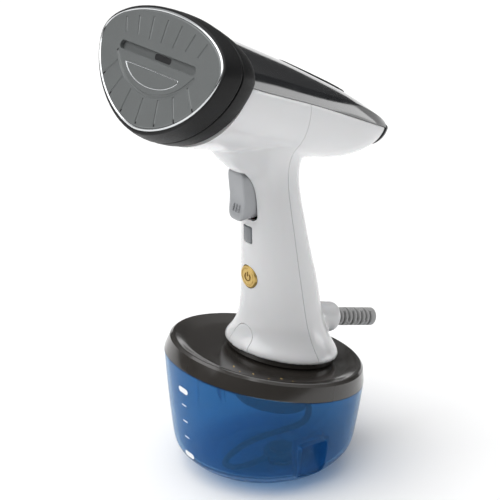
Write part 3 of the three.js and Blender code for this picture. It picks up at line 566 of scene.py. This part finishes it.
bmesh.ops.bevel(trigger_tool, geom=[e for e in trigger_tool.edges if abs((e.verts[0].co - e.verts[1].co).y) > 1
                                    and e.verts[0].co.z < 160],
                offset=3.2, segments=6, profile=0.5, affect="EDGES", material=-1)
relief_tool = shifted(turned([(0, -36), (7.1, -36), (7.1, -4), (5.6, -4), (5.6, 4), (0, 4)], 48), CORD)
hollow = [handle_solid(WALL), head_solid(WALL, 8)]
release_half = carve(outer_skin.copy(), arch_tool(0), operation="INTERSECT")
release_half = carve(release_half, foot.copy(), handle_solid(3))
shell = carve(outer_skin, above_seam(), ahead, tail_end, foot, *hollow, window_tool, button_tool, trigger_tool,
              relief_tool, arch_tool(GAP))
print("shell", len(shell.faces), "faces")

# %% [markdown]
# The shell parts on a plane that follows the leaning handle, as the real one does, so that the two
# halves can be moulded and then closed round the works.

# %% Front and rear shells
def half_space(side):
    lean = Matrix.Translation((0, 4.2, 168)) @ Matrix.Rotation(math.radians(5.4), 4, "X")
    return shifted(block((300, 200, 500), (0, side * (100 + 0.12), 0)), lean)


piece(carve(shell.copy(), half_space(-1), operation="INTERSECT"), "white_front_shell", "handle", white_abs,
      ["front_shell"])
piece(carve(shell, half_space(1), operation="INTERSECT"), "white_rear_shell", "handle", white_abs,
      ["rear_shell"])
piece(release_half, "tank_release_button", "release_button", white_abs, ["release_button"])

# %% [markdown]
# The dark cover is a thin moulded sheet: a leaning side facet, a crease that catches the light, and
# a crowned top. It is drawn as open sections, bridged, closed at the tail by a cap that wraps the
# white body's end, and then given its wall.

# %% Top cover
def cover_ring(section, inset=0):
    depth, half_width, seam, crease, crown, _ = section
    crease_width = half_width - 2.4
    def place(angle):
        turn = (angle + math.pi / 2) % (2 * math.pi) / (2 * math.pi)
        if turn < 0.1 or turn > 0.9:
            side = 1 if turn < 0.1 else -1
            share = (turn if turn < 0.1 else 1 - turn) / 0.1
            return Vector((side * (half_width - inset) * share ** 0.5, depth, seam + GAP - 4 * inset))
        if turn < 0.2 or turn > 0.8:
            side = 1 if turn < 0.2 else -1
            share = ((turn if turn < 0.2 else 1 - turn) - 0.1) / 0.1
            bulge = 0.35 * math.sin(math.pi * share)
            x = half_width - (half_width - crease_width) * share + bulge - inset
            return Vector((side * x, depth, seam + GAP + (crease - seam - GAP) * share - inset * 0.5))
        share = 1 - (turn - 0.2) / 0.3
        rise = crown - crease
        return Vector(((crease_width - inset) * share, depth,
                       crease - inset + rise * (1 - abs(share) ** 2.2)))
    return place


cover_rows = eased(HEAD_SECTIONS, 3)
cover_outer = skin(80, [cover_ring(row) for row in cover_rows])
inner_rows = [(cover_rows[0][0] - 4, *cover_rows[0][1:])] + cover_rows[1:-2]
cover_inner = skin(80, [cover_ring(row, WALL) for row in inner_rows])
cover = carve(cover_outer, cover_inner)


def cap_ring(inset, depth):
    """The tail cap's section: shallow over the side seam and deeper below it."""
    half_width, seam, above, below = 19.4, 8.6, 4.2, 14.2
    def place(angle):
        across, up = math.cos(angle), math.sin(angle)
        rise = (above - inset) * up if up > 0 else -(below - inset) * abs(up) ** (2 / 2.25)
        return Vector(((half_width - inset) * across, depth, seam + rise))
    return place


tail_cap = skin(80, [cap_ring(0, 147.3), cap_ring(0.1, 148.2), cap_ring(1.0, 149.5), cap_ring(2.4, 150)])
piece(cover, "charcoal_top_cover", "handle", cover_abs, ["top_cover"], HEAD, bevel_mm=0.5,
      crease=24)
piece(tail_cap, "charcoal_tail_cap", "handle", cover_abs, place=HEAD, bevel_mm=0.3, crease=30)

# %% [markdown]
# A low raised strip runs along the rear of the cover, as a moulded rib with blunt ends.

# %% Cover inlay
def inlay_ring(depth, half_width, crown, rise):
    def place(angle):
        x, up = math.cos(angle), math.sin(angle)
        return Vector((half_width * x, depth, crown + GAP + (rise * up if up > 0 else 0)))
    return place


inlay_rows = [(row[0], row[4]) for row in cover_rows if 77 < row[0] < 127]
inlay_rings = []
for i, (depth, crown) in enumerate(inlay_rows):
    half_width = 7.5 * math.sin(math.pi * (0.08 + 0.84 * i / (len(inlay_rows) - 1))) ** 0.4
    inlay_rings.append(inlay_ring(depth, half_width, crown, 0.3 + 1.3 * (i / len(inlay_rows)) ** 2))
inlay = skin(32, inlay_rings)
piece(inlay, "cover_rear_rib", "handle", collar_nylon, ["cover_inlay"], HEAD, crease=40)

# %% [markdown]
# The steam trigger is a hollowed lever with a lip at its foot for the fingertip. Its face is a nest
# of shrinking rings that follow the hollow, and a flat arm behind it reaches back to the pin.

# %% Trigger
PIN_Y, PIN_Z = -4.6, 175.6
TRIGGER_MIDDLE = (TRIGGER_TOP + TRIGGER_BOTTOM) / 2


def trigger_outline(angle, share, inset):
    """A point of the lever seen from the front: squarer at the top, rounder at the foot."""
    x, up = math.cos(angle), math.sin(angle)
    sideways, upright = (0.3, 0.3) if up > 0 else (0.5, 0.62)
    half = (TRIGGER_TOP - TRIGGER_BOTTOM) / 2
    return ((TRIGGER_HALF - inset) * share * math.copysign(abs(x) ** sideways, x),
            TRIGGER_MIDDLE + (half - inset) * share * math.copysign(abs(up) ** upright, up))


def lever_ring(share, inset, behind):
    """A ring on the lever's face, whose hollow and lip follow its height."""
    def place(angle):
        x, z = trigger_outline(angle, share, inset)
        t = (z - TRIGGER_BOTTOM) / (TRIGGER_TOP - TRIGGER_BOTTOM)
        hollow = 1.9 * math.sin(math.pi * min(1, max(0, t)) ** 0.8) ** 2
        return Vector((x, -20.3 + 0.5 * t + hollow * (1 - 0.25 * (x / TRIGGER_HALF) ** 2) + behind, z))
    return place


def flat_ring(y):
    def place(angle):
        x, z = trigger_outline(angle, 1, 0.1)
        return Vector((x, y, z))
    return place


lever = skin(96, [flat_ring(-9.4), lever_ring(1, 0, 2.2), lever_ring(1, 0, 1.0), lever_ring(1, 0.25, 0.35)]
             + [lever_ring(share, 0.8, 0) for share in (1, 0.85, 0.7, 0.55, 0.4, 0.25, 0.1)])
arm = bmesh.new()
arm_outline = [arm.verts.new((-6.9, y, z)) for y, z in ((-9.6, 178.8), (-1.8, 178.3), (-1.8, 172.6), (-6.4, 160.5),
                                                        (-6.4, 154.8), (-9.6, 153.6))]
grown = bmesh.ops.extrude_face_region(arm, geom=[arm.faces.new(arm_outline)])["geom"]
bmesh.ops.translate(arm, vec=(13.8, 0, 0), verts=[g for g in grown if isinstance(g, bmesh.types.BMVert)])
bmesh.ops.recalc_face_normals(arm, faces=arm.faces)
across_pin = Matrix.Translation((0, PIN_Y, PIN_Z)) @ Matrix.Rotation(math.pi / 2, 4, "Y")
pin_hole = shifted(turned([(0, -12), (1.5, -12), (1.5, 12), (0, 12)], 24), across_pin)
spring_room = shifted(turned([(0, -3.6), (3.4, -3.6), (3.4, 3.6), (0, 3.6)], 24), across_pin)
lever = carve(lever, arm, operation="UNION")
lever = carve(lever, pin_hole, spring_room, block((7.2, 12, 6.8), (0, PIN_Y + 6, PIN_Z)))
piece(lever, "steam_trigger_lever", "trigger", silver_paint, ["trigger"], crease=48)
for index, x in enumerate((-2.4, 0, 2.4)):
    grip = tube([(x, -19.75, 156.2), (x, -19.2, 158.2), (x, -18.75, 160.2)], 0.28, 8, 1)
    piece(grip, f"trigger_grip_rib_{index + 1}", "trigger", steel)

# %% [markdown]
# The power button is a gold-painted cap with a fine turned ring and a plain ring-and-bar mark.

# %% Power button
FORWARD = Matrix.Translation((0, 0, BUTTON_Z)) @ Matrix.Rotation(math.pi / 2, 4, "X")
cap = turned([(0, 5.4), (7.5, 5.4), (7.5, 6.4), (6.6, 6.4), (6.6, 11.0), (6.35, 11.4), (5.9, 11.55), (5.2, 11.55),
              (5.05, 11.3), (4.8, 11.3), (4.6, 11.55), (0, 11.8)], 64)
piece(cap, "power_button_cap", "power_button", gold_paint, ["power_button"], FORWARD, crease=40)
bronze_print = moulded("bronze_pad_print", ("#8a6a2c", "#785a22"), 2, (0.4, 0.5), 0.3, 0.003, metallic=0.4)
half_ring = [(2.3 * math.sin(math.radians(a)), 2.3 * math.cos(math.radians(a)), 11.8)
             for a in range(40, 321, 20)]
power_ring = tube(half_ring, 0.28, 8, 1)
power_bar = tube([(0, 0.4, 11.83), (0, 2.9, 11.75)], 0.28, 8, 0)
piece(carve(power_ring, power_bar, operation="UNION"), "power_button_mark", "power_button", bronze_print,
      place=FORWARD)

# %% [markdown]
# The level window is a small smoked lens set a little into the shell.

# %% Indicator window
lens = block((2 * WINDOW_HALF[0], 2.8, 2 * WINDOW_HALF[1]), (0, -10.7, WINDOW_Z))
bmesh.ops.bevel(lens, geom=lens.edges[:], offset=0.8, segments=3, profile=0.5, affect="EDGES", material=-1)
piece(lens, "indicator_window_lens", "handle", smoked_lens, ["indicator_lens"], crease=50)

# %% [markdown]
# Under the flare a dark plate closes the handle, and its round collar plugs into the tank's socket.

# %% Base plate
foot_plate = turned([(5.4, 2), (13, 2), (13, -1), (14.9, -1), (15.4, -0.5), (15.4, 7.2), (30.2, 7.2), (30.8, 7.8),
                     (30.8, 10.1), (26, 10.1), (26, 12.5), (5.4, 12.5)])
piece(foot_plate, "handle_base_plate", "handle", lid_abs, ["base_plate"], NECK, bevel_mm=0.25)

# %% [markdown]
# The strain relief is soft grey PVC: ribs joined by short bridges on alternate sides, so that the
# sleeve bends freely. The windows between them go right through.

# %% Strain relief
sleeve = [turned([(3.4, 0.3), (5.3, 0.3), (5.3, 1.8), (3.4, 1.8)], 48)]
RIB_PITCH = 3.45
for i in range(8):
    low = 2.9 + i * RIB_PITCH
    high = low + (2.0 if i < 7 else 3.9)
    sleeve.append(turned([(3.3, low), (4.9, low), (5.3, low + 0.4), (5.3, high - 0.4), (4.9, high),
                          (3.3, high)], 48))
for i in range(8):
    for turn in (0, math.pi):
        spoke = math.radians(73 + (26 if i % 2 else -26)) + turn
        bridge = block((1.5, 4.2, 2.2), (4.15, 0, 1.6 + i * RIB_PITCH + 0.75))
        sleeve.append(shifted(bridge, Matrix.Rotation(spoke, 4, "Z")))
root = turned([(3.3, -10), (6.7, -10), (6.7, -4.4), (4.3, -4.4), (4.3, 0.6), (3.3, 0.6)], 48)
piece(carve(root, *sleeve, operation="UNION"), "ribbed_strain_relief", "handle", relief_rubber,
      ["strain_relief"], CORD, crease=40)

# %% [markdown]
# The tank is one smooth bowl whose rim leans with the lid. Its outside and inside are two skins of
# rings, and the two finger recesses are upright slots cut through the outside, with their own inner
# wall.

# %% Tank sections
TANK_SECTIONS = [  # centre z, radius, tilt in degrees
    (0, 28, 0), (1.8, 34, 0), (4.6, 40, 0), (8.2, 45.5, 0), (12.2, 49.4, 0), (17, 51.9, 0), (30, 53.8, 3.6),
    (45, 55.7, 8.4), (59.4, 57.4, 12.7)]
TANK_WALL = 2
tank_rows = eased(TANK_SECTIONS, 4)


def tank_ring(row, inset=0, lift=0):
    z, radius, tilt = row
    return handle_ring((0, z + lift, radius, radius, tilt), inset)


def recess(extra):
    """Both finger recesses: upright slots in the sides, with flat tops and rounded corners."""
    centre, half, top, corner, floor = -5.2, 8.2 + extra, 34 + extra, 5, 47.5 - extra
    def place(x):
        def at(angle):
            along, up = math.cos(angle), math.sin(angle)
            if up < 0:
                return Vector((x, centre + half * max(-1, min(1, 1.5 * along)), -20))
            return Vector((x, centre + half * math.copysign(abs(along) ** 0.3, along),
                           top - corner + corner * up ** 0.3))
        return at
    return [skin(40, [place(side * floor), place(side * 90)]) for side in (1, -1)]


# %% Tank
plug_tool = shifted(turned([(0, 40), (5.5, 40), (5.5, 70), (0, 70)], 48),
                    Matrix.Translation((0, 0, 37)) @ Matrix.Rotation(-math.pi / 2, 4, "X"))
bowl = skin(128, [tank_ring(row) for row in tank_rows])
last = len(tank_rows) - 1
inside = skin(128, [tank_ring(row, TANK_WALL, 2 if i == last else TANK_WALL * (1 - i / last))
                    for i, row in enumerate(tank_rows)])
inside = carve(inside, *recess(TANK_WALL))
bowl = carve(bowl, *recess(0), inside, plug_tool)
piece(bowl, "blue_tank_bowl", "tank", tank_blue, ["tank", "tank_floor"], crease=38)

# %% [markdown]
# Level marks are printed on the front of the tank: a pill at the top and bottom and three ticks.

# %% Level marks
front_profile = [(z + radius * math.sin(math.radians(tilt)), radius * math.cos(math.radians(tilt)))
                 for z, radius, tilt in tank_rows]


def on_tank(z, half_angle, half_height, round_ends):
    """A thin printed patch that follows the front of the tank."""
    k = next(i for i, row in enumerate(front_profile) if row[0] >= z)
    low, high = front_profile[k - 1], front_profile[k]
    radius = low[1] + (high[1] - low[1]) * (z - low[0]) / (high[0] - low[0])
    lean = math.atan2(high[1] - low[1], high[0] - low[0])
    def place(off):
        def at(angle):
            x, up = math.cos(angle), math.sin(angle)
            if round_ends:
                reach = half_angle - half_height
                x, up = x * half_height + math.copysign(reach, x), up * half_height
            else:
                x, up = half_angle * max(-1, min(1, 1.5 * x)), half_height * max(-1, min(1, 1.5 * up))
            r = radius + off + up * math.tan(lean)
            return Vector((x, -math.sqrt(r * r - x * x), z + up))
        return at
    return skin(32, [place(0.02), place(0.16)])


for index, (z, half_width, half_height, rounded) in enumerate(
        ((59.6, 4.2, 1.7, True), (50.2, 2.0, 0.3, False), (39.8, 2.0, 0.3, False), (29.4, 2.0, 0.3, False),
         (17.6, 4.2, 1.7, True))):
    mark = on_tank(z, half_width, half_height, rounded)
    piece(mark, f"level_mark_{index + 1}", "tank", white_print)

# %% [markdown]
# The lid is a shallow dish with a bright chamfered rim, turned about its own axis. The neck's hole
# is off centre, so it is cut afterwards.

# %% Tank lid
dish_profile = [(0, 4.8), (50, 4.8), (54.8, 4), (55.2, 0.3), (57.4, 0.3), (57.3, 1.2), (55.5, 8.4), (54.2, 9.6),
                (53, 9.6), (52, 9.3), (49.5, 8.2), (47.2, 7.4), (45.8, 7), (44.4, 6.8), (0, 6.8)]
neck_hole = turned([(0, -10), (16.4, -10), (16.4, 30), (0, 30)])
lid = carve(turned(dish_profile, 144), shifted(neck_hole, Matrix.Translation((0, 10.4, 0))))
piece(lid, "dished_tank_lid", "tank", lid_abs, ["tank_lid"], LID, bevel_mm=0.3, crease=24)

# %% [markdown]
# A few tiny gold dots and dashes are printed on the lid in front of the neck, as plain ornament.

# %% Lid marks
for index, (angle, away, length) in enumerate(((-66, 38, 2.2), (-58, 42, 0.6), (-48, 40.5, 1.8), (-36, 43, 0.6),
                                               (-26, 40.5, 1.6), (-18, 43, 0.6))):
    spot = turned([(0, 6.8), (0.5, 6.8), (0.5, 6.88), (0, 6.88)], 16)
    bmesh.ops.scale(spot, vec=(length / 0.9, 0.9, 1), verts=spot.verts)
    turn = Matrix.Rotation(math.radians(angle), 4, "Z")
    bmesh.ops.transform(spot, matrix=turn @ Matrix.Translation((away, 0, 0)) @ Matrix.Rotation(0.5, 4, "Z"),
                        verts=spot.verts)
    piece(spot, f"lid_gold_mark_{index + 1}", "tank", gold_paint, place=LID)

# %% [markdown]
# Inside the tank, a socket hangs under the lid with the valve in its floor, and a hose leads to the
# weighted inlet filter on the bottom.

# %% Works inside the tank
socket = turned([(2.8, -24), (19.8, -24), (20.8, -23), (21, -10), (21, 4.5), (16.4, 4.5), (16.4, -8.6), (2.8, -8.6),
                 (2.8, -10.6), (19, -10.6), (19, -22.4), (2.8, -22.4)])
piece(socket, "valve_socket", "tank", socket_nylon, ["valve_housing"], NECK, bevel_mm=0.3)
strainer = turned([(0, 2.6), (9.4, 2.6), (10, 3.2), (10, 4.2), (9.2, 4.6), (9.2, 5.4), (10, 5.8), (10, 7.6),
                   (9.4, 8.4), (6.5, 8.8), (6.2, 10.2), (2.6, 10.6), (0, 10.6)], 64)
piece(strainer, "inlet_strainer", "tank", filter_plastic, ["inlet_filter"],
      Matrix.Translation((12.9, 2.7, 0)), crease=40)
hose = tube([(14, 17, 41), (18, 20, 32), (17, 17, 22), (8, 2, 17), (2.7, -12, 14), (2, -26, 9.5), (6, -33, 7.6),
             (12, -31, 6.6), (13.5, -21, 6.4), (13, -8.2, 6.4)], 1.9, 16, 3)
piece(hose, "pickup_hose_bent", "tank", dark_hose, ["pickup_hose"])

# %% [markdown]
# The parts that stay hidden in the shells keep their CAD shape. Each gets the finish of the real
# thing.

# %% Finishes of the CAD parts that stay
CAD_FINISHES = [
    (cast_aluminium, ["boiler", "boiler_cover"]),
    (steel, ["heating_element", "trigger_pin", "trigger_spring", "release_spring", "valve_spring",
             "tank_valve", "cover_screw_1", "cover_screw_2", "cover_screw_3", "cover_screw_4"]),
    (switch_plastic, ["thermostat", "thermal_fuse", "trigger_switch", "power_switch", "pump"]),
    (circuit_board, ["control_board"]),
    (smoked_lens, ["indicator_lamp"]),
    (seal_rubber, ["pump_mount", "spigot_seal", "filler_plug", "lid_gasket"]),
    (clear_hose, ["pump_outlet_hose", "pump_inlet_hose"]),
    (inner_nylon, ["water_spigot"])]
finished = set()
for finish, names in CAD_FINISHES:
    for name in names:
        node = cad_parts[name]
        node.data.materials.clear()
        node.data.materials.append(finish)
        finished.add(name)
shown = [name for name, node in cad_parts.items() if not node.hide_render and name not in finished]
print("CAD parts still without a finish:", shown)

# %% [markdown]
# A pale floor and large soft lamps make a plain studio. The light is brightest overhead, the key is
# high on the left, so the shadow falls to the right, and a low strip on the right shows in the
# glossy side of the cover.

# %% Studio
floor_bm = bmesh.new()
bmesh.ops.create_circle(floor_bm, segments=96, radius=9, cap_ends=True)
floor_mesh = bpy.data.meshes.new("studio_floor")
floor_bm.to_mesh(floor_mesh)
floor_bm.free()
floor = bpy.data.objects.new("studio_floor", floor_mesh)
bpy.context.scene.collection.objects.link(floor)
floor_mesh.materials.append(moulded("pale_studio_floor", ("#f9f9f9", "#fbfbfb"), 900, (0.6, 0.7), 30, 0.001))
world = bpy.data.worlds.new("studio")
world.use_nodes = True
dome = world.node_tree.nodes["Background"]
direction = add(world, "ShaderNodeTexCoord")
parts = add(world, "ShaderNodeSeparateXYZ", {"Vector": direction.outputs["Generated"]})
rise = add(world, "ShaderNodeMapRange", {"Value": parts.outputs["Z"], "From Min": 0.1, "From Max": 0.95,
                                         "To Min": 0.06, "To Max": 0.8}, interpolation_type="SMOOTHSTEP")
world.node_tree.links.new(rise.outputs["Result"], dome.inputs["Strength"])
dome.inputs["Color"].default_value = linear("#ffffff")
bpy.context.scene.world = world
RIGHT, BACK = Vector((0.595, 0.804, 0)), Vector((-0.804, 0.595, 0))


def lamp(name, right, back, up, size, watts, aim=(0, 0, 0.14)):
    """A rectangular softbox, placed from the camera's point of view round the steamer."""
    data = bpy.data.lights.new(name, "AREA")
    data.shape, data.size, data.size_y, data.energy = "RECTANGLE", size[0], size[1], watts
    holder = bpy.data.objects.new(name, data)
    holder.location = RIGHT * right + BACK * back + Vector((0, 0, up))
    holder.rotation_euler = (Vector(aim) - holder.location).to_track_quat("-Z", "Y").to_euler()
    bpy.context.scene.collection.objects.link(holder)


lamp("key_softbox", -1.3, -0.5, 1.1, (0.8, 1.3), 4)
lamp("top_softbox", -0.1, 0.3, 1.7, (1.2, 1.2), 3)
lamp("low_right_strip", 1.0, 0.23, 0.09, (0.5, 0.2), 0.8, (0, 0, 0.2))
sky_data = bpy.data.lights.new("broad_overhead", "SUN")
sky_data.energy, sky_data.angle = 1.9, math.radians(70)
sky = bpy.data.objects.new("broad_overhead", sky_data)
sky.rotation_euler = (RIGHT * 0.55 + BACK * 0.15 + Vector((0, 0, -1))).to_track_quat("-Z", "Y").to_euler()
bpy.context.scene.collection.objects.link(sky)
